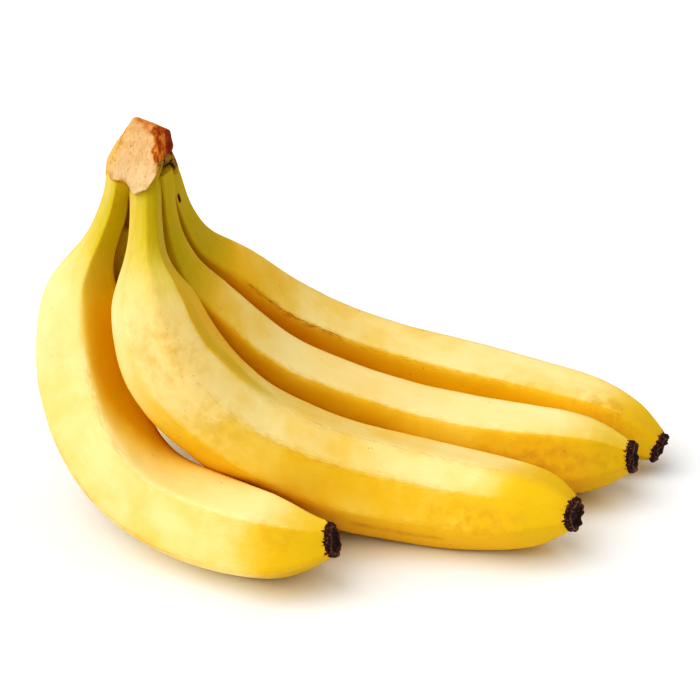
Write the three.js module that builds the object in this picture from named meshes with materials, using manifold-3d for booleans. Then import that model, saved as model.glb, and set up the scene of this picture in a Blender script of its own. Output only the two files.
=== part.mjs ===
import * as THREE from 'three';
import { mergeVertices } from 'three/addons/utils/BufferGeometryUtils.js';
import Module from 'manifold-3d';

// Lengths are millimetres and +Z is up. The bunch lies on z = 0.
// The points below are measured from the foot of the front finger's neck and
// are moved at the end, so that the origin is the middle of the footprint.
const footprintMiddle = { x: 73.58, y: 43.77 };

const clearance = 0.3;
const frontAndUp = new THREE.Vector3(0, -0.88, 0.47);

// Finger bodies: a high sharpness makes the ridges between the faces crisper,
// and the face share is how far the faces lie in, as a share of the radius.
const ringSides = 30;
const ringSpacing = 5.5;
const curveDivisions = 800;
const radiusPointSpacing = 10;
const ridgeSharpness = 14;
const faceShare = 0.94;

// Flower ends: each step is how far ahead of the finger's tip it lies, and its
// share of the tip's radius. The lobes are what is left of the dried flower.
const flowerEndSteps = [
  [0.3, 1],
  [1, 1],
  [1.7, 0.86],
  [2.1, 0.5],
];
const flowerEndSides = 15;
const flowerEndLobes = 5;
const lobeHeight = 0.06;

// Width of the box that stands for everything above the surface.
const roomWidth = 600;

// Corners closer together than this are one corner.
const mergeDistance = 1e-5;

// Each finger: the directions of its long flat faces in degrees about the centre
// line, counted from the side that looks to the front; how far those directions
// turn between neck and tip; and the points of the centre line with the radius
// there.
const fingers = {
  finger_front_left: {
    faces: [-36, 36, 108, 180, 252],
    turn: [6, -28],
    line: [
      [-3.4, 33, 119, 3.9],
      [-4.7, 34.3, 112.5, 3.9],
      [-6.8, 36.5, 104, 4.6],
      [-10.7, 37.3, 94, 5],
      [-14.5, 37, 85.5, 7.8],
      [-17.2, 36, 76.5, 12.2],
      [-17.8, 33.5, 65.5, 14.4],
      [-17.8, 29.5, 54, 15.2],
      [-16, 24, 44, 15.4],
      [-12.1, 16.4, 34.4, 15.2],
      [-5.4, 7.8, 26.2, 14.8],
      [3.2, 1.7, 19.7, 14.6],
      [14.3, -4.8, 16.3, 14.7],
      [27, -12.9, 15.3, 14.8],
      [42.5, -21.5, 16, 13.6],
      [51, -25, 17.2, 11.2],
      [57, -27, 18.4, 8.4],
      [63.8, -28.7, 20.2, 5.3],
    ],
  },
  finger_front: {
    faces: [-77, -33, 9, 64, 118, 200],
    turn: [0, 0],
    line: [
      [4.4, 32.5, 119, 4.6],
      [4.4, 29.5, 113, 4.8],
      [4.4, 26, 104.6, 4.9],
      [4.4, 21, 94.8, 6.6],
      [6, 15, 84, 12.6],
      [13, 10.1, 62.3, 16.6],
      [31.8, 8.7, 41.2, 16.6],
      [48.7, 8.5, 29.5, 17.3],
      [66, 8.8, 21.7, 17.4],
      [86.5, 7.4, 17, 17],
      [102.8, 4.2, 15.3, 16.3],
      [119, -0.9, 15.8, 14.7],
      [131.8, -5.7, 17.3, 11.9],
      [137.4, -9.3, 18.6, 8.8],
      [141.8, -11.6, 19, 5.2],
    ],
  },
  finger_middle: {
    faces: [-59, 13, 66, 118, 180, 242],
    turn: [0, 0],
    line: [
      [7.6, 38, 119, 5],
      [8, 38.5, 112, 5],
      [8.4, 39.5, 102, 5.2],
      [9.4, 40.5, 89, 7.6],
      [12.9, 42.5, 73.4, 12.6],
      [22.3, 45, 57.3, 15.6],
      [32.7, 45.8, 44.7, 16.8],
      [45.5, 45.8, 34.6, 17],
      [63.1, 45.6, 26.2, 17],
      [84, 44.4, 18.9, 17],
      [104.2, 41.2, 15.5, 16.8],
      [121, 37.2, 15, 16.2],
      [137.9, 32.8, 16, 15],
      [149, 30.2, 16.8, 13.1],
      [158, 28.6, 17.2, 9.8],
      [164.6, 26.6, 18.2, 5.2],
    ],
  },
  finger_back: {
    faces: [-57, 15, 87, 159, 231],
    turn: [0, 0],
    line: [
      [7.5, 45.5, 118, 4.8],
      [9.2, 47.5, 111, 5],
      [12.1, 52, 97, 5.4],
      [16.4, 60.6, 79.4, 8.7],
      [26.8, 69.5, 62.7, 13.2],
      [45, 76.8, 41.9, 15.5],
      [62.9, 79.4, 30.4, 15.8],
      [83.6, 79.2, 22.4, 15.9],
      [111.9, 73.4, 17.5, 16],
      [139.3, 64.8, 15.1, 14.5],
      [153.6, 59.6, 14.3, 13.1],
      [164.8, 54.4, 12.7, 10.8],
      [171.2, 51, 11, 8.2],
      [176.6, 48.4, 9.3, 5],
    ],
  },
  finger_rear_low: {
    faces: [-30, 42, 114, 186, 258],
    turn: [0, 0],
    line: [
      [-1.5, 46, 118, 4.8],
      [-3, 48, 111, 5],
      [-5.5, 51, 99, 5.6],
      [-8, 56, 84, 9.4],
      [-7, 63, 64, 13.4],
      [-2, 73, 42, 15],
      [8, 85, 25.5, 15.2],
      [20, 94.5, 17.5, 15.2],
      [34, 101.5, 14.4, 15],
      [48, 106.5, 13.9, 14.6],
      [60, 110, 14.7, 13.2],
      [69, 112, 16.2, 10.6],
      [75, 113.4, 17.2, 8],
      [80, 114.6, 18.2, 5.2],
    ],
  },
};

// The crown's sections from the cut face to the back, each with ten corners
// that run clockwise as seen from the front, starting at the top left.
const crownSections = [
  [
    [1.4, 36.3, 137.6],
    [8.2, 34.4, 135.3],
    [9.1, 30.2, 128.1],
    [8.8, 26.8, 122],
    [5.6, 24.6, 117.5],
    [1.2, 24.2, 116],
    [-1.2, 26.5, 119.7],
    [-6.1, 27.3, 120.2],
    [-7.1, 29.2, 123.3],
    [-2.9, 33.2, 131.2],
  ],
  [
    [1.5, 38.5, 137],
    [12, 37, 133.3],
    [13, 37, 127],
    [11.3, 36, 121],
    [7, 33, 114],
    [0, 33, 114],
    [-3, 33, 116],
    [-7.2, 33.5, 116.5],
    [-8, 35.5, 121.5],
    [-3.7, 37, 130],
  ],
  [
    [2, 45, 131],
    [11.3, 44, 129],
    [12.6, 45, 122],
    [14.2, 48, 113],
    [8, 46, 109],
    [0, 46, 109],
    [-6, 46, 109.5],
    [-9.5, 45, 111.5],
    [-9, 44, 119],
    [-4, 45, 127],
  ],
  [
    [2.5, 52, 123],
    [8, 52, 122],
    [12, 53.5, 117],
    [13, 55, 111],
    [8, 54, 109],
    [1, 54, 109],
    [-5, 54, 109.5],
    [-7.5, 53, 111.5],
    [-7, 52, 116],
    [-2, 52, 121],
  ],
];

const skinMaterial = new THREE.MeshStandardMaterial({ color: 0xf2c94a, roughness: 0.5 });
const cutMaterial = new THREE.MeshStandardMaterial({ color: 0xe6c493, roughness: 0.9 });
const driedMaterial = new THREE.MeshStandardMaterial({ color: 0x2b1d14, roughness: 0.95 });

const wasm = await Module();
wasm.setup();

// The centre line as points at even steps, each with its radius, its forward
// direction and how far along it lies.
function traceLine(line) {
  const curve = new THREE.CatmullRomCurve3(
    line.map(([x, y, z]) => new THREE.Vector3(x, y, z)),
    false,
    'centripetal',
  );
  curve.arcLengthDivisions = curveDivisions;
  const radii = new THREE.CatmullRomCurve3(
    line.map(([, , , radius], index) => new THREE.Vector3(index * radiusPointSpacing, radius, 0)),
    false,
    'centripetal',
  );
  const steps = Math.round(curve.getLength() / ringSpacing);
  return Array.from({ length: steps + 1 }, (_, step) => {
    const t = curve.getUtoTmapping(step / steps);
    return {
      along: step / steps,
      centre: curve.getPoint(t),
      forward: curve.getTangent(t),
      radius: radii.getPoint(t).y,
    };
  });
}

// Outline of a finger across its length: flat faces joined by rounded ridges.
// The reach is a share of the radius, which lies between face and ridge.
function ridgedReach(angle, faces) {
  const sum = faces.reduce((total, face) => {
    const facing = Math.cos(angle - THREE.MathUtils.degToRad(face));
    return total + Math.max(0, facing) ** ridgeSharpness;
  }, 0);
  return faceShare * sum ** (-1 / ridgeSharpness);
}

// One ring of points for each step of the centre line.
function makeRings({ line, faces, turn }, extra) {
  return traceLine(line).map(({ along, centre, forward, radius }) => {
    const side = frontAndUp.clone().addScaledVector(forward, -frontAndUp.dot(forward));
    side.normalize();
    const other = new THREE.Vector3().crossVectors(forward, side);
    const start = THREE.MathUtils.degToRad(turn[0] + (turn[1] - turn[0]) * along);
    return Array.from({ length: ringSides }, (_, index) => {
      const angle = (index * 2 * Math.PI) / ringSides;
      const reach = radius * ridgedReach(angle, faces) + extra;
      return centre
        .clone()
        .addScaledVector(side, reach * Math.cos(angle + start))
        .addScaledVector(other, reach * Math.sin(angle + start));
    });
  });
}

// The solid of a closed geometry, with its shared vertices merged.
function solidFromGeometry(geometry) {
  const bare = geometry.clone();
  bare.deleteAttribute('normal');
  bare.deleteAttribute('uv');
  const merged = mergeVertices(bare, mergeDistance);
  return new wasm.Manifold(
    new wasm.Mesh({
      numProp: 3,
      vertProperties: new Float32Array(merged.attributes.position.array),
      triVerts: new Uint32Array(merged.index.array),
    }),
  );
}

// A closed solid from rings of points, with a flat cap on each end.
function solidFromRings(rings) {
  const count = rings[0].length;
  const points = rings.flat();
  const triangles = [];
  for (let ring = 0; ring + 1 < rings.length; ring += 1) {
    for (let index = 0; index < count; index += 1) {
      const next = (index + 1) % count;
      const here = ring * count;
      const there = here + count;
      triangles.push([here + index, here + next, there + next]);
      triangles.push([here + index, there + next, there + index]);
    }
  }
  const firstCentre = points.push(centreOf(rings[0])) - 1;
  const lastCentre = points.push(centreOf(rings.at(-1))) - 1;
  const lastRing = (rings.length - 1) * count;
  for (let index = 0; index < count; index += 1) {
    const next = (index + 1) % count;
    triangles.push([firstCentre, next, index]);
    triangles.push([lastCentre, lastRing + index, lastRing + next]);
  }
  const geometry = new THREE.BufferGeometry().setFromPoints(points);
  geometry.setIndex(triangles.flat());
  return solidFromGeometry(geometry);
}

function centreOf(ring) {
  const sum = ring.reduce((total, point) => total.add(point), new THREE.Vector3());
  return sum.divideScalar(ring.length);
}

// Everything above the surface that the bunch lies on.
function aboveSurface() {
  const box = new THREE.BoxGeometry(roomWidth, roomWidth, roomWidth);
  box.translate(0, 0, roomWidth / 2);
  return solidFromGeometry(box);
}

// The fingers, each cut clear of the ones made before it and flat where it
// would reach below the surface.
function makeFingers() {
  const room = aboveSurface();
  const taken = [];
  const solids = {};
  for (const [name, finger] of Object.entries(fingers)) {
    let solid = solidFromRings(makeRings(finger, 0)).intersect(room);
    for (const earlier of taken) {
      solid = solid.subtract(earlier);
    }
    solids[name] = solid;
    taken.push(solidFromRings(makeRings(finger, clearance)));
  }
  return { solids, taken };
}

// The dried flower end: a short ragged stub on the tip of a finger.
function makeFlowerEnd({ line }) {
  const tip = traceLine(line).at(-1);
  const side = new THREE.Vector3(0, 0, 1);
  side.addScaledVector(tip.forward, -side.dot(tip.forward)).normalize();
  const other = new THREE.Vector3().crossVectors(tip.forward, side);
  const rings = flowerEndSteps.map(([ahead, share]) =>
    Array.from({ length: flowerEndSides }, (_, index) => {
      const angle = (index * 2 * Math.PI) / flowerEndSides;
      const lobes = 1 + lobeHeight * Math.cos(flowerEndLobes * angle);
      const reach = tip.radius * share * lobes;
      return tip.centre
        .clone()
        .addScaledVector(tip.forward, ahead)
        .addScaledVector(side, reach * Math.cos(angle))
        .addScaledVector(other, reach * Math.sin(angle));
    }),
  );
  return solidFromRings(rings);
}

// The crown: a block with one large cut face at the front, from which its
// sections run back over the tops of the necks.
function makeCrown(taken) {
  const rings = crownSections.map((section) =>
    section.map(([x, y, z]) => new THREE.Vector3(x, y, z)),
  );
  let solid = solidFromRings(rings);
  for (const neck of taken) {
    solid = solid.subtract(neck);
  }
  return solid;
}

function meshFromSolid(solid, name, material) {
  const { numProp, vertProperties, triVerts } = solid.getMesh();
  const positions = [];
  for (const vertex of triVerts) {
    const start = vertex * numProp;
    positions.push(
      vertProperties[start] - footprintMiddle.x,
      vertProperties[start + 1] - footprintMiddle.y,
      vertProperties[start + 2],
    );
  }
  const geometry = new THREE.BufferGeometry();
  geometry.setAttribute('position', new THREE.Float32BufferAttribute(positions, 3));
  geometry.computeVertexNormals();
  const mesh = new THREE.Mesh(geometry, material.clone());
  mesh.name = name;
  return mesh;
}

function makeBunch() {
  const bunch = new THREE.Group();
  bunch.name = 'banana_bunch';
  const { solids, taken } = makeFingers();
  for (const [name, solid] of Object.entries(solids)) {
    bunch.add(meshFromSolid(solid, name, skinMaterial));
    const tip = makeFlowerEnd(fingers[name]);
    bunch.add(meshFromSolid(tip, name.replace('finger', 'flower_end'), driedMaterial));
  }
  bunch.add(meshFromSolid(makeCrown(taken), 'crown', cutMaterial));
  return bunch;
}

export default makeBunch();
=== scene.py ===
"""A bunch of ripe bananas lying on a pale floor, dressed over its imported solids."""

import math

import bpy
import numpy as np
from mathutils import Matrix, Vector, noise


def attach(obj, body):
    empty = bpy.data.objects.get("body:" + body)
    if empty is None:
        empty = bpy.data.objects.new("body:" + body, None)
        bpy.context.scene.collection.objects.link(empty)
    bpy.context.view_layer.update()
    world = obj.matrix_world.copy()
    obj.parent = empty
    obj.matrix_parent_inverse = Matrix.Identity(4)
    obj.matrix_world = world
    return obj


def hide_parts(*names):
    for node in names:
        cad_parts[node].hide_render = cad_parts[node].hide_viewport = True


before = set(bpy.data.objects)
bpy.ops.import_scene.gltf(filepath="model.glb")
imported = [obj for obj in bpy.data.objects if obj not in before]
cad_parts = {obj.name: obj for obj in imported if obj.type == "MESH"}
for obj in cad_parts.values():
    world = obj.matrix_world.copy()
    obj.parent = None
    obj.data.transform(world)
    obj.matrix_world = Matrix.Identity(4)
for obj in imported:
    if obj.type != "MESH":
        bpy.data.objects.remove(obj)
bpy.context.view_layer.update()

bl_info = {
    "name": "Banana bunch",
    "version": (1, 0, 0),
    "blender": (4, 5, 0),
    "location": "View3D > Sidebar > Bananas",
    "description": "Builds a bunch of ripe bananas, its materials, floor, light and camera",
    "category": "Add Mesh",
}

MM = 0.001
BODY = "root"

# Lengths in the tables below are millimetres, measured from the foot of the front
# finger's neck. This is the middle of the footprint in them, which becomes the origin.
FOOTPRINT_MIDDLE = np.array([73.58, 43.77, 0.0])
FRONT_AND_UP = np.array([0.0, -0.88, 0.47])

# Each finger. Distances run along the centre line from the crown, and directions are
# degrees about it, with 0 towards the camera.
# faces: the directions of the long flat faces.
# tones: painted shade, how deep the yellow of each face is made, from 0 to 1, at the neck
# and at the tip.
# turn: how far the faces are turned at the neck and at the tip.
# green: where it starts to fade, where it has gone, and its strongest direction, which on
# the four front necks is their shaded side, so the green there is partly painted shade.
# inner: the strength of the painted shade between neighbours, and where it fades and has gone.
# blotches: place, direction, half length, half width in degrees and strength.
# streaks, scuffs: direction, start, end, half width in degrees and strength. A streak is
# green, one stronger than 1 paints light, a pale bright green, onto a neck in shade, and a
# scuff stronger than 1 is a dark scar.
# line: the points of the centre line with the radius there.
FINGERS = {
    "finger_front_left": {
        "faces": (-36, 36, 108, 180, 252),
        "face_shades": ((0.1, 0, 0.2, 0.5, 1), (0, 0.4, 0.2, 0.5, 0.1)),
        "turn": (6, -28),
        "green": (20, 58, -60),
        "crevice_shade": (1, 78, 165),
        "streaks": ((0, 30, 70, 6, 0.3),),
        "blotches": ((62, 40, 9, 30, 0.3), (176, 20, 12, 30, 0.5)),
        "scuffs": ((0, 70, 110, 3, 0.35), (72, 90, 150, 4, 0.35), (-72, 60, 150, 4, 0.3)),
        "line": (
            (-3.4, 33, 119, 3.9), (-4.7, 34.3, 112.5, 3.9), (-6.8, 36.5, 104, 4.6),
            (-10.7, 37.3, 94, 5), (-14.5, 37, 85.5, 7.8), (-17.2, 36, 76.5, 12.2),
            (-17.8, 33.5, 65.5, 14.4), (-17.8, 29.5, 54, 15.2), (-16, 24, 44, 15.4),
            (-12.1, 16.4, 34.4, 15.2), (-5.4, 7.8, 26.2, 14.8), (3.2, 1.7, 19.7, 14.6),
            (14.3, -4.8, 16.3, 14.7), (27, -12.9, 15.3, 14.8), (42.5, -21.5, 16, 13.6),
            (51, -25, 17.2, 11.2), (57, -27, 18.4, 8.4), (63.8, -28.7, 20.2, 5.3),
        ),
    },
    "finger_front": {
        "faces": (-77, -33, 9, 64, 118, 200),
        "face_shades": ((1, 0.1, 0, 0.3, 0.5, 0.4), (0.3, 0.35, 0.75, 1, 0.5, 0.4)),
        "turn": (0, 0),
        "green": (14, 56, -70),
        "crevice_shade": (0.45, 120, 180),
        "streaks": ((-72, 16, 108, 18, 0.5),),
        "blotches": ((54, 0, 14, 45, 0.7), (80, 12, 16, 30, 0.5), (180, 18, 18, 20, 1.1)),
        "scuffs": (
            (-12, 82, 180, 4, 0.13), (-56, 108, 196, 1.5, 0.3), (56, 136, 172, 5, 0.7),
            (91, 100, 180, 5, 0.4),
        ),
        "line": (
            (4.4, 32.5, 119, 4.6), (4.4, 29.5, 113, 4.8), (4.4, 26, 104.6, 4.9),
            (4.4, 21, 94.8, 6.6), (6, 15, 84, 12.6), (13, 10.1, 62.3, 16.6),
            (31.8, 8.7, 41.2, 16.6), (48.7, 8.5, 29.5, 17.3), (66, 8.8, 21.7, 17.4),
            (86.5, 7.4, 17, 17), (102.8, 4.2, 15.3, 16.3), (119, -0.9, 15.8, 14.7),
            (131.8, -5.7, 17.3, 11.9), (137.4, -9.3, 18.6, 8.8), (141.8, -11.6, 19, 5.2),
        ),
    },
    "finger_middle": {
        "faces": (-59, 13, 66, 118, 180, 242),
        "face_shades": ((0.6, 1, 1, 0.6, 0.5, 0.4), (0, 0.75, 1, 0.6, 0.5, 0.4)),
        "turn": (0, 0),
        "green": (26, 64, -30),
        "crevice_shade": (1.25, 110, 180),
        "streaks": ((4, 44, 88, 14, 0.3),),
        "blotches": ((140, -10, 5, 12, 0.3), (196, 8, 24, 26, 1.3)),
        "scuffs": ((-23, 60, 170, 3, 0.12), (149, 60, 190, 4, 0.4), (211, 80, 160, 4, 0.3)),
        "line": (
            (7.6, 38, 119, 5), (8, 38.5, 112, 5), (8.4, 39.5, 102, 5.2), (9.4, 40.5, 89, 7.6),
            (12.9, 42.5, 73.4, 12.6), (22.3, 45, 57.3, 15.6), (32.7, 45.8, 44.7, 16.8),
            (45.5, 45.8, 34.6, 17), (63.1, 45.6, 26.2, 17), (84, 44.4, 18.9, 17),
            (104.2, 41.2, 15.5, 16.8), (121, 37.2, 15, 16.2), (137.9, 32.8, 16, 15),
            (149, 30.2, 16.8, 13.1), (158, 28.6, 17.2, 9.8), (164.6, 26.6, 18.2, 5.2),
        ),
    },
    "finger_back": {
        "faces": (-57, 15, 87, 159, 231),
        "face_shades": ((0.75, 1, 0.8, 0.5, 0.4), (0.3, 0.8, 0.6, 0.5, 0.3)),
        "turn": (0, 0),
        "green": (32, 66, -60),
        "crevice_shade": (1, 170, 230),
        "streaks": ((-21, 52, 84, 6, 0.35),),
        "blotches": ((186, -30, 6, 14, 0.5), (217, -20, 12, 34, 1.1)),
        "scuffs": (
            (-20, 60, 114, 2.5, 1), (-20, 118, 190, 3, 0.25), (-38, 11, 16, 8, 2.2),
            (-93, 80, 190, 4, 0.4), (195, 90, 170, 4, 0.4),
        ),
        "line": (
            (7.5, 45.5, 118, 4.8), (9.2, 47.5, 111, 5), (12.1, 52, 97, 5.4),
            (16.4, 60.6, 79.4, 8.7), (26.8, 69.5, 62.7, 13.2), (45, 76.8, 41.9, 15.5),
            (62.9, 79.4, 30.4, 15.8), (83.6, 79.2, 22.4, 15.9), (111.9, 73.4, 17.5, 16),
            (139.3, 64.8, 15.1, 14.5), (153.6, 59.6, 14.3, 13.1), (164.8, 54.4, 12.7, 10.8),
            (171.2, 51, 11, 8.2), (176.6, 48.4, 9.3, 5),
        ),
    },
    "finger_rear_low": {
        "faces": (-30, 42, 114, 186, 258),
        "face_shades": ((0, 0, 0.6, 0.5, 0), (0.2, 0.5, 0.6, 0.5, 0.2)),
        "turn": (0, 0),
        "green": (20, 45, 0),
        "crevice_shade": (0, 90, 150),
        # This strong streak is painted light on the neck that lies in shade behind the others.
        "streaks": ((0, 12, 82, 100, 2.2),),
        "blotches": ((90, 120, 12, 30, 0.5), (140, 170, 10, 25, 0.4)),
        "scuffs": ((150, 60, 150, 3, 0.6), (222, 50, 150, 3, 0.4)),
        "line": (
            (-1.5, 46, 118, 4.8), (-3, 48, 111, 5), (-5.5, 51, 99, 5.6), (-8, 56, 84, 9.4),
            (-7, 63, 64, 13.4), (-2, 73, 42, 15), (8, 85, 25.5, 15.2), (20, 94.5, 17.5, 15.2),
            (34, 101.5, 14.4, 15), (48, 106.5, 13.9, 14.6), (60, 110, 14.7, 13.2),
            (69, 112, 16.2, 10.6), (75, 113.4, 17.2, 8), (80, 114.6, 18.2, 5.2),
        ),
    },
}

# How sharp the ridges are on the neck and on the body, between which distances from the
# crown that changes, and how far out the flat faces lie.
NECK_SHARPNESS = 26
BODY_SHARPNESS = 15
NECK_FADE = (20, 60)
FACE_SHARE = 0.94

# The half width of a ridge's rubbed line in degrees, how quickly the painted face shade
# changes from face to face, where it changes along the finger, and how the green, whose
# one-sided part is painted shade, and the marks fade.
RIDGE_HALF_WIDTH = 6.0
FACE_CRISPNESS = 60
TONE_FADE = (0.2, 0.5)
GREEN_ONE_SIDED = 0.3
TIP_GREEN = 0.32
TIP_GREEN_FADE = (6, 34)
STREAK_FADE = 20
SCUFF_FADE = 4

# How finely the fingers are drawn, and over what length their lines are smoothed.
STEPS_PER_SPAN = 60
RADIUS_POINT_SPACING = 10.0
RING_SIDES = 140
RING_SPACING = 0.6
LINE_SMOOTHING = 3.5
# How often and how far the painted shade between fingers looks for a neighbour.
NEIGHBOUR_STEP = 8
NEIGHBOUR_REACH = 10.0

# Layers of noise, each with its strength, size in millimetres and seed, and how far
# apart the seeds lie.
NOISE_SHIFT = (17.3, 5.1, 9.7)
PEEL_DENTS = ((1.0, 17, 1), (0.4, 6, 2))
CROWN_DENTS = ((0.35, 4.0, 11), (0.16, 1.4, 12))

# The crown's sections from the cut face to the back, each with ten corners that run
# clockwise as seen from the front, starting at the top left.
CROWN_SECTIONS = (
    (
        (1.4, 36.3, 137.6), (8.2, 34.4, 135.3), (9.1, 30.2, 128.1), (8.8, 26.8, 122),
        (5.6, 24.6, 117.5), (1.2, 24.2, 116), (-1.2, 26.5, 119.7), (-6.1, 27.3, 120.2),
        (-7.1, 29.2, 123.3), (-2.9, 33.2, 131.2),
    ),
    (
        (1.5, 38.5, 137), (12, 37, 133.3), (13, 37, 127), (11.3, 36, 121), (7, 33, 114),
        (0, 33, 114), (-3, 33, 116), (-7.2, 33.5, 116.5), (-8, 35.5, 121.5), (-3.7, 37, 130),
    ),
    (
        (2, 45, 131), (11.3, 44, 129), (12.6, 45, 122), (14.2, 48, 113), (8, 46, 109),
        (0, 46, 109), (-6, 46, 109.5), (-9.5, 45, 111.5), (-9, 44, 119), (-4, 45, 127),
    ),
    (
        (2.5, 52, 123), (8, 52, 122), (12, 53.5, 117), (13, 55, 111), (8, 54, 109), (1, 54, 109),
        (-5, 54, 109.5), (-7.5, 53, 111.5), (-7, 52, 116), (-2, 52, 121),
    ),
)

# The crown's middle, its steps between corners and between sections, how often each
# corner is averaged with its neighbours, how far out the rings on the cut and the back
# lie, and how close to the edge the cut's brown rim keeps.
CROWN_MIDDLE = (2, 40, 121)
CROWN_STEPS = 14
CORNER_ROUNDING = 4
CUT_SHARES = np.linspace(0.04, 1, 26)[:-1]
BACK_SHARES = np.linspace(1, 0.05, 12)[1:]
RIM_POWER = 6

# The flower end's outline: how far ahead of the finger's tip in millimetres, and what
# share of the tip's radius. The curve through it is drawn with the shares scaled up.
FLOWER_END_OUTLINE = (
    (-0.8, 0.8), (-0.4, 1.0), (0.2, 1.07), (0.9, 1.08), (1.5, 1.02), (1.9, 0.92), (1.8, 0.8),
    (1.2, 0.64), (0.7, 0.42), (0.7, 0.2), (0.9, 0.02),
)
SHARE_SCALE = 10
FLOWER_END_STEPS = 4
FLOWER_END_SIDES = 90
FLOWER_END_SEED = 20
TOOTH_SEED = 5

# Its teeth and crust: how fine they are, and their heights, lengthwise in millimetres
# and outward as a share of the radius. Teeth stand on the outer part alone.
TOOTH_FINENESS = 3.2
TOOTH_HEIGHTS = (0.9, 0.07)
CRUST_GRAIN = 1.6
CRUST_DRAWN_OUT = 0.6
CRUST_HEIGHTS = (0.25, 0.09)
OUTER_SHARES = (0.3, 0.9)

# The pale rim around its hollow end: the share of the radius, its half width there, and
# between which distances ahead of the tip it appears.
STUB_RIM = (0.88, 0.12)
STUB_RIM_AHEAD = (1.0, 1.7)

# Hollows and swellings of the crown: their middle, half sizes and height.
CROWN_FORMS = (
    ((12.6, 37.5, 119.5), (3.2, 4.5, 3.6), -2),
    ((9, 30, 124.2), (3.5, 5, 0.6), -0.7),
    ((13.4, 42, 124), (3.5, 8, 0.8), -0.9),
    ((14, 44, 116.5), (3, 4, 1.6), 0.8),
    ((3, 28, 122), (4, 4, 5), -0.5),
)

# Colours that only small areas have. The tints are the crown's.
SCAR_COLOR = (0.07, 0.015, 0.012, 1)
BURNT_COLOR = (0.035, 0.014, 0.008, 1)
CRUST_COLORS = ((0.04, 0.01, 0.006, 1), (0.32, 0.14, 0.08, 1))
CRUST_RIM_COLOR = (0.4, 0.22, 0.15, 1)
TINTS = {
    "tongue": (0.95, 0.72, 0.44, 1),
    "top_edge": (0.72, 0.27, 0.1, 1),
    "left_edge": (0.88, 0.56, 0.14, 1),
    "peel": (0.5, 0.35, 0.02, 1),
    "pale_peel": (0.62, 0.42, 0.05, 1),
    # The hollow's colours are painted shade: dark, with paler olive patches.
    "hollow": (0.1, 0.04, 0.01, 1),
    "pale_hollow_shade": (0.45, 0.31, 0.04, 1),
    "dry_left": (0.84, 0.5, 0.18, 1),
    "dry_top": (0.75, 0.32, 0.12, 1),
    "dried": (0.78, 0.34, 0.09, 1),
    "dark_dried": (0.44, 0.12, 0.02, 1),
    "outermost": (0.26, 0.045, 0.01, 1),
    "rim": (0.4, 0.15, 0.03, 1),
    "dots": (0.22, 0.07, 0.02, 1),
}

# Where the crown's areas begin and where they are complete, in millimetres in the
# object's own frame. The two edges are slanted, so theirs are mixed heights.
AREAS = {
    "above_tongue": (119, 128),
    "top_edge": (107.5, 112.5),
    "left_edge": (141.5, 146.5),
    "hollow_across": (-64.8, -63),
    "hollow_height": (115.5, 118.5),
    "right_of_dry_left": (-70, -66),
    "dry_left_height": (117, 119),
    "behind_dry_left": (-3, 3),
    "dry_top": (129, 132),
    "outermost": (-63, -61.6),
    "dried_across": (-66.7, -65.1),
    "dried_height": (124.2, 125.4),
}
TOP_EDGE_SLANT = 0.36
LEFT_EDGE_SLANT = 0.52

# The lights shine from these places towards the origin. The camera looks at LOOK_AT,
# which is in table millimetres.
KEY_PLACE = (-0.6, -0.3, 0.85)
FRONT_PLACE = (0.0, -0.88, 0.47)
TOP_PLACE = (0.35, 0.5, 0.8)
LOOK_AT = (70.0, 35.0, 54.5)
SENSOR_WIDTH = 36
FLOOR_HALF = 3.0

# The picture's brightness curve between black and white.
TONE_CURVE = ((0.12, 0.035), (0.3, 0.2), (0.6, 0.55))


class FingerSettings(bpy.types.PropertyGroup):
    """What the skin of the fingers looks like."""

    ripe_color: bpy.props.FloatVectorProperty(
        name="Ripe skin",
        description="Colour of the ripe peel",
        subtype="COLOR",
        size=4,
        default=(0.97, 0.78, 0.38, 1),
    )
    warm_color: bpy.props.FloatVectorProperty(
        name="Warm skin",
        description="Deeper yellow that the ripe peel drifts to",
        subtype="COLOR",
        size=4,
        default=(0.96, 0.71, 0.3, 1),
    )
    # Painted shade of the lower faces and the tips, which also takes the peel's own uneven deeper
    # patches.
    deep_and_shade_color: bpy.props.FloatVectorProperty(
        name="Deep skin",
        description="Deeper yellow of the lower faces and of the tips",
        subtype="COLOR",
        size=4,
        default=(0.86, 0.52, 0.05, 1),
    )
    # Painted shade where a finger faces a neighbour close by.
    crevice_shade_color: bpy.props.FloatVectorProperty(
        name="Inner skin",
        description="Deep yellow of the sides that face a neighbouring finger",
        subtype="COLOR",
        size=4,
        default=(0.74, 0.42, 0.005, 1),
    )
    green_color: bpy.props.FloatVectorProperty(
        name="Green neck",
        description="Colour of the unripe peel on the necks",
        subtype="COLOR",
        size=4,
        default=(0.58, 0.45, 0.008, 1),
    )
    # Painted light: a pale bright green on the neck that lies in shade behind the others.
    painted_light_color: bpy.props.FloatVectorProperty(
        name="Young skin",
        description="Light green of a neck that has had little sun",
        subtype="COLOR",
        size=4,
        default=(0.88, 0.86, 0.06, 1),
    )
    scuff_color: bpy.props.FloatVectorProperty(
        name="Scuffs",
        description="Colour of rubbed ridges, freckles and bruises",
        subtype="COLOR",
        size=4,
        default=(0.45, 0.15, 0.012, 1),
    )
    bruise_color: bpy.props.FloatVectorProperty(
        name="Bruises",
        description="Colour of the soft tan blotches",
        subtype="COLOR",
        size=4,
        default=(0.66, 0.35, 0.06, 1),
    )
    relief: bpy.props.FloatProperty(
        name="Relief",
        description="Height of the soft dents in the peel",
        unit="LENGTH",
        min=0,
        default=0.00022,
    )


class CrownSettings(bpy.types.PropertyGroup):
    """What the cut crown looks like."""

    cut_color: bpy.props.FloatVectorProperty(
        name="Cut",
        description="Colour of the dry cut",
        subtype="COLOR",
        size=4,
        default=(0.84, 0.54, 0.28, 1),
    )
    fibre_color: bpy.props.FloatVectorProperty(
        name="Fibres",
        description="Colour of the fibre lines in the cut",
        subtype="COLOR",
        size=4,
        default=(0.62, 0.3, 0.1, 1),
    )


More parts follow.
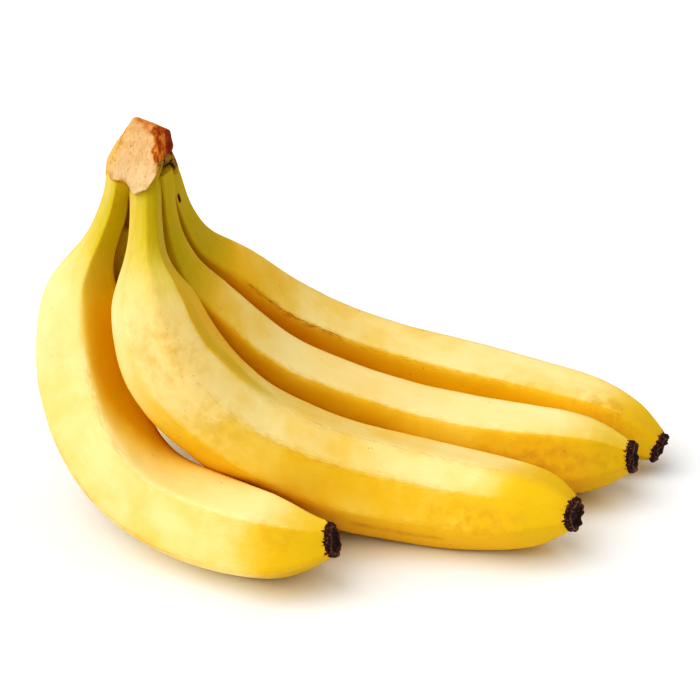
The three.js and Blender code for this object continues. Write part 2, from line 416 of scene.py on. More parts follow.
class StageSettings(bpy.types.PropertyGroup):
    """Floor, light in watts per square metre, and camera."""

    camera_distance: bpy.props.FloatProperty(
        name="Camera distance",
        description="Distance from the camera to the point it looks at",
        unit="LENGTH",
        default=0.8,
    )
    camera_elevation: bpy.props.FloatProperty(
        name="Camera elevation",
        description="Angle of the camera above the floor",
        subtype="ANGLE",
        default=math.radians(28),
    )
    camera_lens: bpy.props.FloatProperty(
        name="Focal length",
        description="Focal length in millimetres on a sensor 36 mm wide",
        default=123.4,
    )
    floor_color: bpy.props.FloatVectorProperty(
        name="Floor",
        description="Colour of the floor",
        subtype="COLOR",
        size=4,
        default=(0.93, 0.93, 0.93, 1),
    )
    key_strength: bpy.props.FloatProperty(
        name="Key light",
        description="Strength of the wide soft light from the upper left",
        default=2.6,
    )
    front_strength: bpy.props.FloatProperty(
        name="Front light",
        description="Strength of the weak light from the front",
        default=0.5,
    )
    front_spread: bpy.props.FloatProperty(
        name="Front light spread",
        description="Angle that the front light fills, wider for softer shadows",
        subtype="ANGLE",
        default=math.radians(20),
    )
    top_strength: bpy.props.FloatProperty(
        name="Top light",
        description="Strength of the weak light from above and behind",
        default=0.95,
    )
    key_spread: bpy.props.FloatProperty(
        name="Key and top spread",
        description="Angle that the key and top lights fill, wider for softer shadows",
        subtype="ANGLE",
        default=math.radians(70),
    )
    world_strength: bpy.props.FloatProperty(
        name="Room light",
        description="Strength of the even light from all around",
        default=0.26,
    )


def to_frame(points):
    """Table millimetres to metres in the object's own frame."""
    return (np.asarray(points, float) - FOOTPRINT_MIDDLE) * MM


def curve_points(points, per_span):
    """Centripetal Catmull-Rom curve through the points, sampled per_span times a span."""
    points = np.asarray(points, float)
    padded = np.vstack([2 * points[0] - points[1], points, 2 * points[-1] - points[-2]])
    steps = np.linspace(0, 1, per_span, endpoint=False)[:, None]
    spans = []
    for before, start, end, after in zip(padded, padded[1:], padded[2:], padded[3:]):
        pairs = ((before, start), (start, end), (end, after))
        first, middle, last = [np.linalg.norm(b - a) ** 0.5 for a, b in pairs]
        straight = (end - start) / middle
        leave = (start - before) / first - (end - before) / (first + middle) + straight
        arrive = straight - (after - start) / (middle + last) + (after - end) / last
        leave = leave * middle
        arrive = arrive * middle
        spans.append(
            start
            + leave * steps
            + (3 * (end - start) - 2 * leave - arrive) * steps**2
            + (2 * (start - end) + leave + arrive) * steps**3
        )
    spans.append(points[-1:])
    return np.vstack(spans)


def smoothed(rows, spread):
    """Rows blurred along their order, with both ends held where they are."""
    reach = int(3 * spread)
    weights = np.exp(-0.5 * (np.arange(-reach, reach + 1) / spread) ** 2)
    weights /= weights.sum()
    head = 2 * rows[0] - rows[1 : reach + 1][::-1]
    tail = 2 * rows[-1] - rows[-reach - 1 : -1][::-1]
    padded = np.vstack([head, rows, tail])
    return np.stack([np.convolve(column, weights, "valid") for column in padded.T], axis=1)


def trace_line(line):
    """Even steps along a finger: distance, centre, forward direction and radius, in mm."""
    line = np.array(line, float)
    centres = curve_points(line[:, :3], STEPS_PER_SPAN)
    counted = np.stack([np.arange(len(line)) * RADIUS_POINT_SPACING, line[:, 3]], axis=1)
    radii = curve_points(counted, STEPS_PER_SPAN)[:, 1]
    along = np.concatenate([[0], np.cumsum(np.linalg.norm(np.diff(centres, axis=0), axis=1))])
    steps = np.linspace(0, along[-1], int(round(along[-1] / RING_SPACING)) + 1)
    rows = np.stack([np.interp(steps, along, values) for values in (*centres.T, radii)], axis=1)
    rows = smoothed(rows, LINE_SMOOTHING / RING_SPACING)
    forward = np.gradient(rows[:, :3], axis=0)
    forward /= np.linalg.norm(forward, axis=1, keepdims=True)
    return steps, rows[:, :3], forward, rows[:, 3]


def ridged_reach(angles, faces, sharpness):
    """Share of the radius at each angle: flat faces joined by rounded ridges."""
    facing = np.maximum(np.cos(angles[:, None] - np.radians(faces)), 0)
    total = (facing[None] ** sharpness[:, None, None]).sum(-1)
    return FACE_SHARE * total ** (-1 / sharpness[:, None])


def painted_face_shades(angles, faces, face_shades):
    """The painted shade of the face that each angle lies on, changing quickly at the ridges."""
    facing = np.maximum(np.cos(angles[:, None] - np.radians(faces)), 0) ** FACE_CRISPNESS
    return (facing * np.array(face_shades)).sum(-1) / facing.sum(-1)


def painted_shades_along(finger, angles, share):
    """The painted face shade at every ring and angle, blended from the neck's to the tip's."""
    at_neck, at_tip = (painted_face_shades(angles, finger["faces"], face_shades) for face_shades in finger["face_shades"])
    return at_neck[None, :] + (at_tip - at_neck)[None, :] * soft_step(*TONE_FADE, share)[:, None]


def angle_between(a, b):
    """Smallest difference of two angles in degrees."""
    return np.abs((a - b + 180) % 360 - 180)


def ridge_closeness(degrees, faces):
    """1 on a ridge, falling to 0 on the faces."""
    ordered = sorted(face % 360 for face in faces)
    following = ordered[1:] + [ordered[0] + 360]
    ridges = [(a + b) / 2 for a, b in zip(ordered, following)]
    nearest = np.min([angle_between(degrees, ridge) for ridge in ridges], axis=0)
    return np.exp(-((nearest / RIDGE_HALF_WIDTH) ** 2))


def soft_step(low, high, values):
    """0 below low, 1 above high, and a smooth rise between."""
    share = np.clip((values - low) / (high - low), 0, 1)
    return share * share * (3 - 2 * share)


def soft_noise(points, size, seed):
    """Smooth noise from -1 to 1 at points in mm, with bumps of about the given size."""
    shift = Vector([seed * part for part in NOISE_SHIFT])
    return np.array([noise.noise(Vector(p) / size + shift) for p in points])


def layered_noise(points, layers):
    """The sum of several layers of smooth noise."""
    return sum(strength * soft_noise(points, size, seed) for strength, size, seed in layers)


def closed_tube(name, rings):
    """A mesh from rings of points with a fan at each end."""
    count, sides = rings.shape[:2]
    corners = rings.reshape(-1, 3)
    start_centre = len(corners)
    end_centre = start_centre + 1
    corners = np.vstack([corners, rings[0].mean(0), rings[-1].mean(0)])
    here = np.arange((count - 1) * sides).reshape(count - 1, sides)
    following = np.roll(here, -1, axis=1)
    quads = np.stack([here, following, following + sides, here + sides], axis=-1).reshape(-1, 4)
    last = (count - 1) * sides
    pairs = [(a, (a + 1) % sides) for a in range(sides)]
    start_fan = [(start_centre, b, a) for a, b in pairs]
    end_fan = [(end_centre, last + a, last + b) for a, b in pairs]
    mesh = bpy.data.meshes.new(name)
    mesh.from_pydata(corners.tolist(), [], quads.tolist() + start_fan + end_fan)
    mesh.validate()
    mesh.shade_smooth()
    return mesh


def store_values(mesh, name, values):
    """Keeps one number or one vector for each vertex on the mesh, for the materials to read."""
    values = np.asarray(values, np.float32)
    kind, field = ("FLOAT", "value") if values.ndim == 1 else ("FLOAT_VECTOR", "vector")
    attribute = mesh.attributes.new(name, kind, "POINT")
    attribute.data.foreach_set(field, values.ravel())


def place_piece(mesh, name, node, material):
    """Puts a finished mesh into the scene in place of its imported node."""
    piece = bpy.data.objects.new(name, mesh)
    bpy.context.scene.collection.objects.link(piece)
    mesh.materials.append(material)
    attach(piece, BODY)
    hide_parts(node)


def finger_rings(finger, relief):
    """A finger's rings in table mm, with their distances, angles and radii."""
    steps, centres, forward, radii = trace_line(finger["line"])
    side = FRONT_AND_UP - forward * (forward @ FRONT_AND_UP)[:, None]
    side /= np.linalg.norm(side, axis=1, keepdims=True)
    other = np.cross(forward, side)
    angles = np.linspace(0, 2 * math.pi, RING_SIDES, endpoint=False)
    start, end = finger["turn"]
    turned = angles[None, :] + np.radians(start + (end - start) * steps / steps[-1])[:, None]
    directions = side[:, None, :] * np.cos(turned)[..., None]
    directions = directions + other[:, None, :] * np.sin(turned)[..., None]
    neck = 1 - soft_step(*NECK_FADE, steps)
    sharpness = BODY_SHARPNESS + (NECK_SHARPNESS - BODY_SHARPNESS) * neck
    reach = radii[:, None] * ridged_reach(angles, finger["faces"], sharpness)
    rings = centres[:, None, :] + directions * reach[..., None]
    dents = layered_noise(rings.reshape(-1, 3), PEEL_DENTS)
    rings = rings + directions * (dents.reshape(reach.shape) * relief)[..., None]
    rings[..., 2] = np.maximum(rings[..., 2], 0)
    return steps, angles, radii, rings


def ring_normals(rings):
    """The direction that the surface faces at each ring point."""
    around = np.roll(rings, -1, axis=1) - np.roll(rings, 1, axis=1)
    lengthwise = np.gradient(rings, axis=0)
    normals = np.cross(around, lengthwise)
    return normals / (np.linalg.norm(normals, axis=-1, keepdims=True) + 1e-9)


def facing_neighbours(name, rings):
    """How far each ring point faces a neighbouring finger close by, from 0 to 1."""
    points = rings.reshape(-1, 3)
    normals = ring_normals(rings).reshape(-1, 3)
    most = np.zeros(len(points))
    for other, finger in FINGERS.items():
        if other == name:
            continue
        _, centres, _, radii = trace_line(finger["line"])
        for centre, radius in zip(centres[::NEIGHBOUR_STEP], radii[::NEIGHBOUR_STEP]):
            away = centre - points
            distance = np.linalg.norm(away, axis=1)
            facing = np.maximum((normals * away).sum(1) / distance, 0)
            near = np.exp(-np.maximum(distance - radius, 0) / NEIGHBOUR_REACH)
            most = np.maximum(most, facing * near)
    return most.reshape(rings.shape[:2])


def long_marks(along, degrees, marks, longest_fade):
    """The strength of lengthwise marks: direction, start, end, half width, strength."""
    total = np.zeros_like(along)
    for direction, start, end, half_width, strength in marks:
        fade = min(longest_fade, (end - start) / 3)
        lengthwise = soft_step(start, start + fade, along) * (1 - soft_step(end - fade, end, along))
        sideways = angle_between(degrees, direction) / half_width
        total = np.maximum(total, strength * lengthwise * np.exp(-(sideways**2)))
    return total


def finger_values(finger, steps, angles, radii):
    """What the skin material reads at each ring point, with its place on a straightened finger."""
    along = np.repeat(steps[:, None], len(angles), axis=1)
    width = np.repeat(radii[:, None], len(angles), axis=1)
    straight = np.stack([width * np.cos(angles), width * np.sin(angles), along], axis=-1)
    degrees = np.degrees(angles)[None, :]
    full, gone, greenest = finger["green"]
    green = 1 - soft_step(full, gone, along)
    # The green leans towards the neck's shaded side, which is partly painted shade.
    one_sided = GREEN_ONE_SIDED * np.cos(np.radians(degrees - greenest))
    green = green * (1 - GREEN_ONE_SIDED + one_sided)
    ridge = ridge_closeness(np.degrees(angles), finger["faces"])
    blotches = np.zeros_like(along)
    for place, direction, half_length, half_width, strength in finger["blotches"]:
        lengthwise = (along - place) / half_length
        sideways = angle_between(degrees, direction) / half_width
        blotches = np.maximum(blotches, strength * np.exp(-(lengthwise**2) - sideways**2))
    streaks = long_marks(along, degrees, finger["streaks"], STREAK_FADE)
    from_tip = steps[-1] - along
    tip = TIP_GREEN * (1 - soft_step(*TIP_GREEN_FADE, from_tip))
    return {
        "straight": straight,
        "green": np.maximum(green, np.maximum(streaks, tip)),
        # The deeper yellow of the lower faces is painted shade.
        "shade_and_tone": painted_shades_along(finger, angles, steps / steps[-1]),
        "ridge": np.tile(ridge, (len(steps), 1)),
        "blotches": blotches,
        "scuffs": long_marks(along, degrees, finger["scuffs"], SCUFF_FADE),
        "from_tip": from_tip,
    }


def with_end_centres(values):
    """The values of the rings, and after them those of the two end centres."""
    flat = values.reshape(-1, *values.shape[2:])
    return np.concatenate([flat, values[0].mean(0)[None], values[-1].mean(0)[None]])


def build_finger(name, finger, material, relief):
    """One banana: its ridged, curved peel from the crown to the tip."""
    steps, angles, radii, rings = finger_rings(finger, relief)
    mesh = closed_tube(name, to_frame(rings))
    values = finger_values(finger, steps, angles, radii)
    # Painted shade where the finger faces its neighbours, fading towards the tip.
    strength, full, gone = finger["crevice_shade"]
    values["crevice_shade"] = facing_neighbours(name, rings) * strength
    values["crevice_shade"] *= 1 - soft_step(full, gone, steps)[:, None]
    for label, numbers in values.items():
        store_values(mesh, label, with_end_centres(numbers))
    place_piece(mesh, name + "_peel", name, material)


def build_flower_end(name, finger, material, seed):
    """The dried remnant of the flower: a ragged dark stub with a hollow end."""
    _, centres, forward, radii = trace_line(finger["line"])
    tip, ahead, radius = centres[-1], forward[-1], radii[-1]
    side = np.cross(ahead, (0.0, 0.0, 1.0))
    side /= np.linalg.norm(side)
    other = np.cross(ahead, side)
    scale = (1, SHARE_SCALE)
    outline = curve_points(np.array(FLOWER_END_OUTLINE) * scale, FLOWER_END_STEPS) / scale
    angles = np.linspace(0, 2 * math.pi, FLOWER_END_SIDES, endpoint=False)
    directions = np.cos(angles)[:, None] * side + np.sin(angles)[:, None] * other
    teeth = soft_noise(directions * TOOTH_FINENESS, 1.0, seed + TOOTH_SEED)
    rings = []
    for distance, share in outline:
        circle = directions * radius * share
        crust = soft_noise(circle + ahead * distance * CRUST_DRAWN_OUT, CRUST_GRAIN, seed)
        lengthwise, outward = (
            tooth * teeth + rough * crust for tooth, rough in zip(TOOTH_HEIGHTS, CRUST_HEIGHTS)
        )
        lengthwise = distance + soft_step(*OUTER_SHARES, share) * lengthwise
        rings.append(tip + ahead * lengthwise[:, None] + circle * (1 + outward)[:, None])
    mesh = closed_tube(name, to_frame(np.array(rings)))
    distances, shares = outline.T
    rim_share, half_width = STUB_RIM
    rim = np.exp(-(((shares - rim_share) / half_width) ** 2))
    rim = rim * soft_step(*STUB_RIM_AHEAD, distances)
    store_values(mesh, "rim", with_end_centres(np.repeat(rim[:, None], len(angles), axis=1)))
    place_piece(mesh, name + "_stub", name, material)


def refined_loop(corners, per_side):
    """A closed loop with per_side steps on each side and slightly rounded corners."""
    corners = np.asarray(corners, float)
    steps = np.linspace(0, 1, per_side, endpoint=False)[:, None]
    sides = [a + (b - a) * steps for a, b in zip(corners, np.roll(corners, -1, axis=0))]
    loop = np.vstack(sides)
    for _ in range(CORNER_ROUNDING):
        loop = (loop + np.roll(loop, 1, axis=0) + np.roll(loop, -1, axis=0)) / 3
    return loop


def build_crown(material):
    """The crown: a cut, woody block over the tops of the necks."""
    loops = [refined_loop(section, CROWN_STEPS) for section in CROWN_SECTIONS]
    depth = curve_points(np.array([loop.ravel() for loop in loops]), CROWN_STEPS)
    sides = depth.reshape(len(depth), -1, 3)
    face, back = (
        [ring.mean(0) + (ring - ring.mean(0)) * share for share in shares]
        for ring, shares in ((sides[0], CUT_SHARES), (sides[-1], BACK_SHARES))
    )
    rings = np.array([*face, *sides, *back])
    flat = rings.reshape(-1, 3)
    outward = flat - np.array(CROWN_MIDDLE)
    outward /= np.linalg.norm(outward, axis=1, keepdims=True)
    rough = layered_noise(flat, CROWN_DENTS)
    for middle, half_sizes, height in CROWN_FORMS:
        away = ((flat - np.array(middle)) / half_sizes) ** 2
        rough = rough + height * np.exp(-away.sum(1))
    flat = flat + outward * rough[:, None]
    rings = flat.reshape(rings.shape)
    mesh = closed_tube("crown", to_frame(rings))
    on_face = np.zeros(rings.shape[:2])
    on_face[: len(face) + 1] = 1
    rim = np.zeros(rings.shape[:2])
    rim[: len(face) + 1] = (np.append(CUT_SHARES, 1.0) ** RIM_POWER)[:, None]
    store_values(mesh, "cut_face", with_end_centres(on_face))
    store_values(mesh, "rim", with_end_centres(rim))
    place_piece(mesh, "crown_block", "crown", material)


class Number:
    """A number that changes over the surface. Arithmetic with it adds Math nodes."""

    def __init__(self, socket):
        self.socket = socket
        self.tree = socket.id_data

    def step(self, operation, first, second):
        """One Math node on numbers or plain values."""
        inputs = {0: first, 1: second}
        return Number(add_node(self.tree, "ShaderNodeMath", inputs, operation=operation).outputs[0])

    def __add__(self, other):
        return self.step("ADD", self, other)

    def __sub__(self, other):
        return self.step("SUBTRACT", self, other)

    def __rsub__(self, other):
        return self.step("SUBTRACT", other, self)

    def __mul__(self, other):
        return self.step("MULTIPLY", self, other)

    def __truediv__(self, other):
        return self.step("DIVIDE", self, other)

    def clamped(self):
        """The same number, kept from 0 to 1."""
        self.socket.node.use_clamp = True
        return self

    def rise(self, low, high):
        """0 where the number is below low, 1 where it is above high, smooth between."""
        inputs = {"Value": self, "From Min": low, "From Max": high}
        node = add_node(self.tree, "ShaderNodeMapRange", inputs, interpolation_type="SMOOTHSTEP")
        return Number(node.outputs["Result"])

    def fall(self, low, high):
        """1 where the number is below low, 0 where it is above high, smooth between."""
        return 1.0 - self.rise(low, high)


def feed(socket, value):
    """Sets a socket to a plain value, or links it to the socket or number that feeds it."""
    if isinstance(value, Number):
        value = value.socket
    if isinstance(value, bpy.types.NodeSocket):
        socket.id_data.links.new(value, socket)
    else:
        socket.default_value = value


def add_node(tree, kind, inputs, **settings):
    """Adds a shader node with its inputs fed."""
    node = tree.nodes.new(kind)
    for key, value in settings.items():
        setattr(node, key, value)
    for key, value in inputs.items():
        feed(node.inputs[key], value)
    return node


def tint(color, share, other, strength=1.0):
    """The colour, drawn towards the other one by the number share times strength."""
    if strength != 1:
        share = share * strength
    inputs = {0: share, 6: color, 7: other}
    return add_node(share.tree, "ShaderNodeMix", inputs, data_type="RGBA").outputs[2]


def add_noise(tree, vector, fineness, detail):
    """Soft noise from 0 to 1 with about fineness bumps a millimetre."""
    inputs = {"Vector": vector, "Scale": fineness, "Detail": detail}
    return Number(add_node(tree, "ShaderNodeTexNoise", inputs).outputs["Fac"])


def read_value(tree, name):
    """A number that the mesh keeps for each vertex."""
    return Number(add_node(tree, "ShaderNodeAttribute", {}, attribute_name=name).outputs["Fac"])


def new_group(name, inputs):
    """A shader node group with a Vector input, the named number inputs and one Mask output."""
    group = bpy.data.node_groups.new(name, "ShaderNodeTree")
    group.interface.new_socket("Vector", in_out="INPUT", socket_type="NodeSocketVector")
    for label, default in inputs.items():
        socket = group.interface.new_socket(label, in_out="INPUT", socket_type="NodeSocketFloat")
        socket.default_value = default
    group.interface.new_socket("Mask", in_out="OUTPUT", socket_type="NodeSocketFloat")
    entry = group.nodes.new("NodeGroupInput")
    leave = group.nodes.new("NodeGroupOutput")
    return group, entry.outputs, leave.inputs["Mask"]


def make_streaks_group():
    """Noise drawn out along the third axis, as plant fibres are."""
    group, given, mask = new_group("Fibre streaks", {"Fineness": 1.0, "Stretch": 0.1})
    scale = add_node(group, "ShaderNodeCombineXYZ", {"X": 1.0, "Y": 1.0, "Z": given["Stretch"]})
    factors = {0: given["Vector"], 1: scale.outputs[0]}
    drawn = add_node(group, "ShaderNodeVectorMath", factors, operation="MULTIPLY")
    inputs = {"Vector": drawn.outputs[0], "Scale": given["Fineness"], "Detail": 4.0}
    fibres = add_node(group, "ShaderNodeTexNoise", {**inputs, "Roughness": 0.6})
    feed(mask, fibres.outputs["Fac"])
    return group


def make_specks_group():
    """Small dots strewn over the surface, only some of the places taken."""
    group, given, mask = new_group("Strewn specks", {"Fineness": 0.3, "Size": 0.1, "Share": 0.3})
    inputs = {"Vector": given["Vector"], "Scale": given["Fineness"]}
    cells = add_node(group, "ShaderNodeTexVoronoi", inputs, feature="F1")
    chance = add_node(group, "ShaderNodeSeparateColor", {"Color": cells.outputs["Color"]})
    size = Number(given["Size"])
    taken = size.step("LESS_THAN", chance.outputs["Red"], given["Share"])
    inside = size * Number(chance.outputs["Green"]) - cells.outputs["Distance"]
    feed(mask, (inside / size * 3.0).clamped() * taken)
    return group


GROUP_MAKERS = {"Fibre streaks": make_streaks_group, "Strewn specks": make_specks_group}


def place_group(tree, name, **inputs):
    """Puts a shared node group, built the first time, into a material and returns its Mask."""
    group = bpy.data.node_groups.get(name) or GROUP_MAKERS[name]()
    return Number(add_node(tree, "ShaderNodeGroup", inputs, node_tree=group).outputs["Mask"])


def new_material(name):
    """An empty node material, its tree and its Principled shader."""
    material = bpy.data.materials.new(name)
    material.use_nodes = True
    tree = material.node_tree
    shader = tree.nodes["Principled BSDF"]
    return material, tree, shader


def add_bump(tree, shader, height, distance):
    """Raises the surface by height, where 1 is the stated distance in metres."""
    bump = add_node(tree, "ShaderNodeBump", {"Height": height, "Distance": distance})
    feed(shader.inputs["Normal"], bump.outputs["Normal"])


def color_skin(settings, skin):
    """The peel's yellow with painted shade: pale on the upper faces, deeper low down, near the tip
    and between fingers, with random uneven patches.
    """
    color = tint(settings.ripe_color, skin["clouds"].rise(0.35, 0.7), settings.warm_color)
    color = tint(color, skin["long_streaks"].rise(0.5, 0.75), settings.warm_color, 0.35)
    uneven = (skin["clouds"] + skin["fine_streaks"] * 0.3 - 0.65) * 0.7
    mottled = (skin["patches"] - 0.5) * 0.12
    # The face shades and the deepening near the tip are painted shade, and the clouds and patches are
    # the peel's own uneven colour.
    shade_and_tone = skin["shade_and_tone"] + skin["from_tip"].fall(4.0, 34.0) * 0.6 + uneven + mottled
    color = tint(color, shade_and_tone.rise(0.1, 0.9), settings.deep_and_shade_color)
    return tint(color, skin["crevice_shade"].rise(0.1, 0.42), settings.crevice_shade_color)


def color_neck(color, settings, skin):
    """The green of the neck, which ends unevenly and leans to its shaded side as painted shade, and
    painted light, a pale bright green, on a neck in shade.
    """
    wander = skin["long_streaks"] + skin["clouds"] - 1.0
    green = (skin["green"] + wander * 0.35).clamped() * skin["green"].rise(0.0, 0.4)
    color = tint(color, green, settings.green_color)
    return tint(color, skin["green"].rise(1.05, 1.5), settings.painted_light_color)


def color_marks(color, settings, skin):
    """Tan blotches, rubbed ridges and scars."""
    bruise = skin["blotches"] * skin["patches"].rise(0.34, 0.72)
    color = tint(color, bruise, settings.bruise_color, 0.6)
    ragged = (skin["fine_streaks"] + skin["patches"] * 0.4).rise(0.6, 0.85)
    scuffs = (skin["scuffs"] * (ragged + 0.15)).clamped()
    color = tint(color, scuffs, settings.scuff_color, 0.75)
    color = tint(color, skin["scuffs"].rise(0.8, 1.2), SCAR_COLOR)
    return tint(color, skin["ridge"] * ragged, settings.scuff_color, 0.12)


def make_skin_material(settings):
    """Waxy yellow peel with painted shade low down and between fingers: green at the neck, rubbed
    ridges, freckles, a dark tip.
    """
    material, tree, shader = new_material("banana_skin")
    straight = add_node(tree, "ShaderNodeAttribute", {}, attribute_name="straight").outputs["Vector"]
    names = ("shade_and_tone", "crevice_shade", "green", "blotches", "scuffs", "ridge", "from_tip")
    skin = {name: read_value(tree, name) for name in names}
    skin["clouds"] = add_noise(tree, straight, 0.045, 3.0)
    skin["patches"] = add_noise(tree, straight, 0.28, 6.0)
    for name, fineness, stretch in (("long_streaks", 0.9, 0.05), ("fine_streaks", 3.2, 0.08)):
        inputs = {"Vector": straight, "Fineness": fineness, "Stretch": stretch}
        skin[name] = place_group(tree, "Fibre streaks", **inputs)
    color = color_skin(settings, skin)
    color = color_neck(color, settings, skin)
    color = color_marks(color, settings, skin)

    freckles = place_group(tree, "Strewn specks", Vector=straight, Fineness=0.26, Size=0.1, Share=0.3)
    dust = place_group(tree, "Strewn specks", Vector=straight, Fineness=0.8, Size=0.22, Share=0.25)
    dust = dust * (skin["blotches"] + 0.14)
    dots = dust.step("MAXIMUM", freckles, dust) * 0.6
    color = tint(color, dots, settings.scuff_color)

    spikes = place_group(tree, "Fibre streaks", Vector=straight, Fineness=1.3, Stretch=0.1)
    edge = spikes.rise(0.4, 0.7) * 1.5 + 0.2
    burnt = ((edge - skin["from_tip"]) * 1.2).clamped()
    feed(shader.inputs["Base Color"], tint(color, burnt, BURNT_COLOR))
    shader.inputs["Specular IOR Level"].default_value = 0.3
    shader.inputs["Specular Tint"].default_value = (1.0, 0.82, 0.4, 1.0)
    feed(shader.inputs["Roughness"], skin["long_streaks"] * 0.16 + 0.36 + burnt * 0.3)
    add_bump(tree, shader, skin["fine_streaks"] * 0.5 + skin["patches"] - dots, 0.00012)
    return material


def read_millimetres(tree):
    """The place on the object in millimetres."""
    place = add_node(tree, "ShaderNodeTexCoord", {}).outputs["Object"]
    inputs = {0: place, "Scale": 1 / MM}
    return add_node(tree, "ShaderNodeVectorMath", inputs, operation="SCALE").outputs[0]


def color_cut(settings, across, height, fibres, wander):
    """The pale cut: fibre lines, a lighter tongue and dried upper and left edges."""
    face = tint(settings.cut_color, fibres.rise(0.5, 0.72), settings.fibre_color, 0.6)
    face = tint(face, height.fall(*AREAS["above_tongue"]), TINTS["tongue"], 0.45)
    top_edge = (height + across * TOP_EDGE_SLANT + wander).rise(*AREAS["top_edge"])
    face = tint(face, top_edge, TINTS["top_edge"], 0.8)
    left_edge = (height * LEFT_EDGE_SLANT - across + wander).rise(*AREAS["left_edge"])
    return tint(face, left_edge, TINTS["left_edge"], 0.6)


def color_crown_peel(across, backward, height, clouds):
    """The peel around the crown: green, with painted shade in the hollow, dried on the left and on
    top.
    """
    peel = tint(TINTS["peel"], clouds.rise(0.4, 0.6), TINTS["pale_peel"])
    # The dark hollow with its paler patches is painted shade.
    recess_shade = tint(TINTS["hollow"], clouds.rise(0.4, 0.55), TINTS["pale_hollow_shade"])
    hollow = across.rise(*AREAS["hollow_across"]) * height.rise(*AREAS["hollow_height"])
    peel = tint(peel, hollow, recess_shade)
    dry_left = across.fall(*AREAS["right_of_dry_left"])
    dry_left = dry_left * height.rise(*AREAS["dry_left_height"])
    dry_left = dry_left * backward.fall(*AREAS["behind_dry_left"])
    peel = tint(peel, dry_left, TINTS["dry_left"])
    return tint(peel, height.rise(*AREAS["dry_top"]), TINTS["dry_top"])


def make_crown_material(settings):
    """Dry pale cut with fibres, brown where the rim and the right side have dried."""
    material, tree, shader = new_material("crown_cut")
    millimetres = read_millimetres(tree)
    place = add_node(tree, "ShaderNodeSeparateXYZ", {"Vector": millimetres})
    across, backward, height = (Number(socket) for socket in place.outputs)
    fibres = place_group(tree, "Fibre streaks", Vector=millimetres, Fineness=1.5, Stretch=0.14)
    clouds = add_noise(tree, millimetres, 0.35, 5.0)
    wander = (clouds - 0.5) * 6.0
    peel = color_crown_peel(across, backward, height, clouds)
    face = color_cut(settings, across, height, fibres, wander)
    color = tint(peel, read_value(tree, "cut_face"), face)

    dark = (fibres + clouds).rise(0.85, 1.15)
    dried = tint(TINTS["dried"], dark, TINTS["dark_dried"])
    outermost = across.rise(*AREAS["outermost"])
    dried = tint(dried, outermost, TINTS["outermost"], 0.7)
    patch = (across + wander).rise(*AREAS["dried_across"])
    color = tint(color, patch * height.rise(*AREAS["dried_height"]), dried)

    rim = read_value(tree, "rim") * clouds.rise(0.42, 0.62)
    color = tint(color, rim, TINTS["rim"], 0.6)
    dots = place_group(tree, "Strewn specks", Vector=millimetres, Fineness=0.6, Size=0.2, Share=0.16)
    feed(shader.inputs["Base Color"], tint(color, dots, TINTS["dots"], 0.7))
    shader.inputs["Roughness"].default_value = 0.75
    shader.inputs["Specular IOR Level"].default_value = 0.2
    add_bump(tree, shader, fibres + clouds * 2.0, 0.0004)
    return material


def make_dried_material():
    """Black-brown crust of the flower ends, rough, with lighter flecks that are partly its own
    reddish-brown and partly painted dull glints.
    """
    material, tree, shader = new_material("flower_end")
    millimetres = read_millimetres(tree)
    crust = place_group(tree, "Fibre streaks", Vector=millimetres, Fineness=1.5, Stretch=1.0)
    # The lighter crust colour is partly painted highlight standing in for dull glints.
    dark, light = CRUST_COLORS
    color = tint(dark, crust.rise(0.5, 0.68), light)
    rim = read_value(tree, "rim") * crust.rise(0.38, 0.6)
    feed(shader.inputs["Base Color"], tint(color, rim, CRUST_RIM_COLOR, 0.8))
    feed(shader.inputs["Roughness"], crust.rise(0.1, 0.9))
    add_bump(tree, shader, crust, 0.0008)
    return material


def make_floor_material(color):
    """Plain pale, matt floor."""
    material, _, shader = new_material("floor")
    shader.inputs["Base Color"].default_value = tuple(color)
    shader.inputs["Roughness"].default_value = 0.9
    shader.inputs["Specular IOR Level"].default_value = 0.1
    return material


class BANANA_OT_fingers(bpy.types.Operator):
    """Build the five fingers of the bunch"""

    bl_idname = "banana.fingers"
    bl_label = "Fingers"

    def execute(self, context):
        settings = context.scene.banana_fingers
        material = make_skin_material(settings)
        for name, finger in FINGERS.items():
            build_finger(name, finger, material, settings.relief / MM)
        return {"FINISHED"}


class BANANA_OT_flower_ends(bpy.types.Operator):
    """Build the dried flower end on each finger's tip"""

    bl_idname = "banana.flower_ends"
    bl_label = "Flower ends"

    def execute(self, context):
        material = make_dried_material()
        for seed, (name, finger) in enumerate(FINGERS.items()):
            stub_name = name.replace("finger", "flower_end")
            build_flower_end(stub_name, finger, material, FLOWER_END_SEED + seed)
        return {"FINISHED"}


class BANANA_OT_crown(bpy.types.Operator):
    """Build the cut crown that joins the necks"""

    bl_idname = "banana.crown"
    bl_label = "Crown"

    def execute(self, context):
        settings = context.scene.banana_crown
        build_crown(make_crown_material(settings))
        return {"FINISHED"}


def build_floor(color):
    """A wide pale floor under the bunch."""
    mesh = bpy.data.meshes.new("floor")
    signs = ((-1, -1), (1, -1), (1, 1), (-1, 1))
    corners = [(x * FLOOR_HALF, y * FLOOR_HALF, 0) for x, y in signs]
    mesh.from_pydata(corners, [], [(0, 1, 2, 3)])
    floor = bpy.data.objects.new("floor", mesh)
    mesh.materials.append(make_floor_material(color))
    bpy.context.scene.collection.objects.link(floor)


def aim(item, target):
    """Turns an object so that it looks at the target."""
    item.rotation_mode = "QUATERNION"
    item.rotation_quaternion = (Vector(target) - item.location).to_track_quat("-Z", "Y")


def add_soft_light(name, place, strength, spread):
    """A wide, even light that shines from the place towards the origin."""
    data = bpy.data.lights.new(name, "SUN")
    data.energy = strength
    data.angle = spread
    light = bpy.data.objects.new(name, data)
    light.location = place
    bpy.context.scene.collection.objects.link(light)
    aim(light, (0.0, 0.0, 0.0))


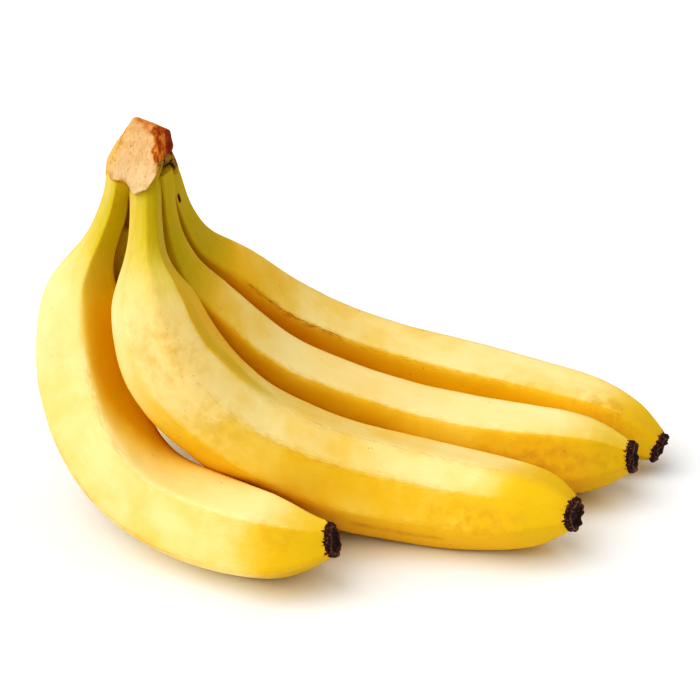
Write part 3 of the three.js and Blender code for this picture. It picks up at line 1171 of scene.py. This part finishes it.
def add_room_light(strength):
    """Even white light from all around."""
    world = bpy.data.worlds.new("studio")
    bpy.context.scene.world = world
    world.use_nodes = True
    background = world.node_tree.nodes["Background"]
    background.inputs["Color"].default_value = (1, 1, 1, 1)
    background.inputs["Strength"].default_value = strength


def add_camera(settings):
    """The camera, looking at the middle of the bunch from the front and above."""
    data = bpy.data.cameras.new("camera")
    data.sensor_width = SENSOR_WIDTH
    data.lens = settings.camera_lens
    camera = bpy.data.objects.new("camera", data)
    target = Vector(to_frame(LOOK_AT).tolist())
    tilt = settings.camera_elevation
    back = Vector((0, -math.cos(tilt), math.sin(tilt)))
    camera.location = target + back * settings.camera_distance
    bpy.context.scene.collection.objects.link(camera)
    aim(camera, target)
    bpy.context.scene.camera = camera


def set_tone(view):
    """Plain colours with deeper shades, as a bright studio picture has."""
    view.view_transform = "Standard"
    view.use_curve_mapping = True
    curve = view.curve_mapping.curves[3]
    for place, value in TONE_CURVE:
        curve.points.new(place, value)
    view.curve_mapping.update()


class BANANA_OT_stage(bpy.types.Operator):
    """Build the floor, the soft studio light and the camera"""

    bl_idname = "banana.stage"
    bl_label = "Floor, light and camera"

    def execute(self, context):
        settings = context.scene.banana_stage
        build_floor(settings.floor_color)
        add_soft_light("key", KEY_PLACE, settings.key_strength, settings.key_spread)
        add_soft_light("front", FRONT_PLACE, settings.front_strength, settings.front_spread)
        add_soft_light("top", TOP_PLACE, settings.top_strength, settings.key_spread)
        add_room_light(settings.world_strength)
        add_camera(settings)
        set_tone(context.scene.view_settings)
        return {"FINISHED"}


class BANANA_PT_panel(bpy.types.Panel):
    """Lists the parts of the bunch and their settings."""

    bl_idname = "BANANA_PT_panel"
    bl_label = "Banana bunch"
    bl_space_type = "VIEW_3D"
    bl_region_type = "UI"
    bl_category = "Bananas"

    def draw(self, context):
        scene = context.scene
        for settings in (scene.banana_fingers, scene.banana_crown, scene.banana_stage):
            for name in settings.bl_rna.properties.keys():
                if name not in ("rna_type", "name"):
                    self.layout.prop(settings, name)
        for operator in OPERATORS:
            self.layout.operator(operator.bl_idname)


OPERATORS = (BANANA_OT_fingers, BANANA_OT_flower_ends, BANANA_OT_crown, BANANA_OT_stage)
CLASSES = (FingerSettings, CrownSettings, StageSettings, *OPERATORS, BANANA_PT_panel)


def register():
    for item in CLASSES:
        bpy.utils.register_class(item)
    bpy.types.Scene.banana_fingers = bpy.props.PointerProperty(type=FingerSettings)
    bpy.types.Scene.banana_crown = bpy.props.PointerProperty(type=CrownSettings)
    bpy.types.Scene.banana_stage = bpy.props.PointerProperty(type=StageSettings)


def unregister():
    del bpy.types.Scene.banana_stage
    del bpy.types.Scene.banana_crown
    del bpy.types.Scene.banana_fingers
    for item in reversed(CLASSES):
        bpy.utils.unregister_class(item)


def main():
    register()
    bpy.ops.banana.fingers()
    bpy.ops.banana.flower_ends()
    bpy.ops.banana.crown()
    bpy.ops.banana.stage()


if __name__ == "__main__":
    main()
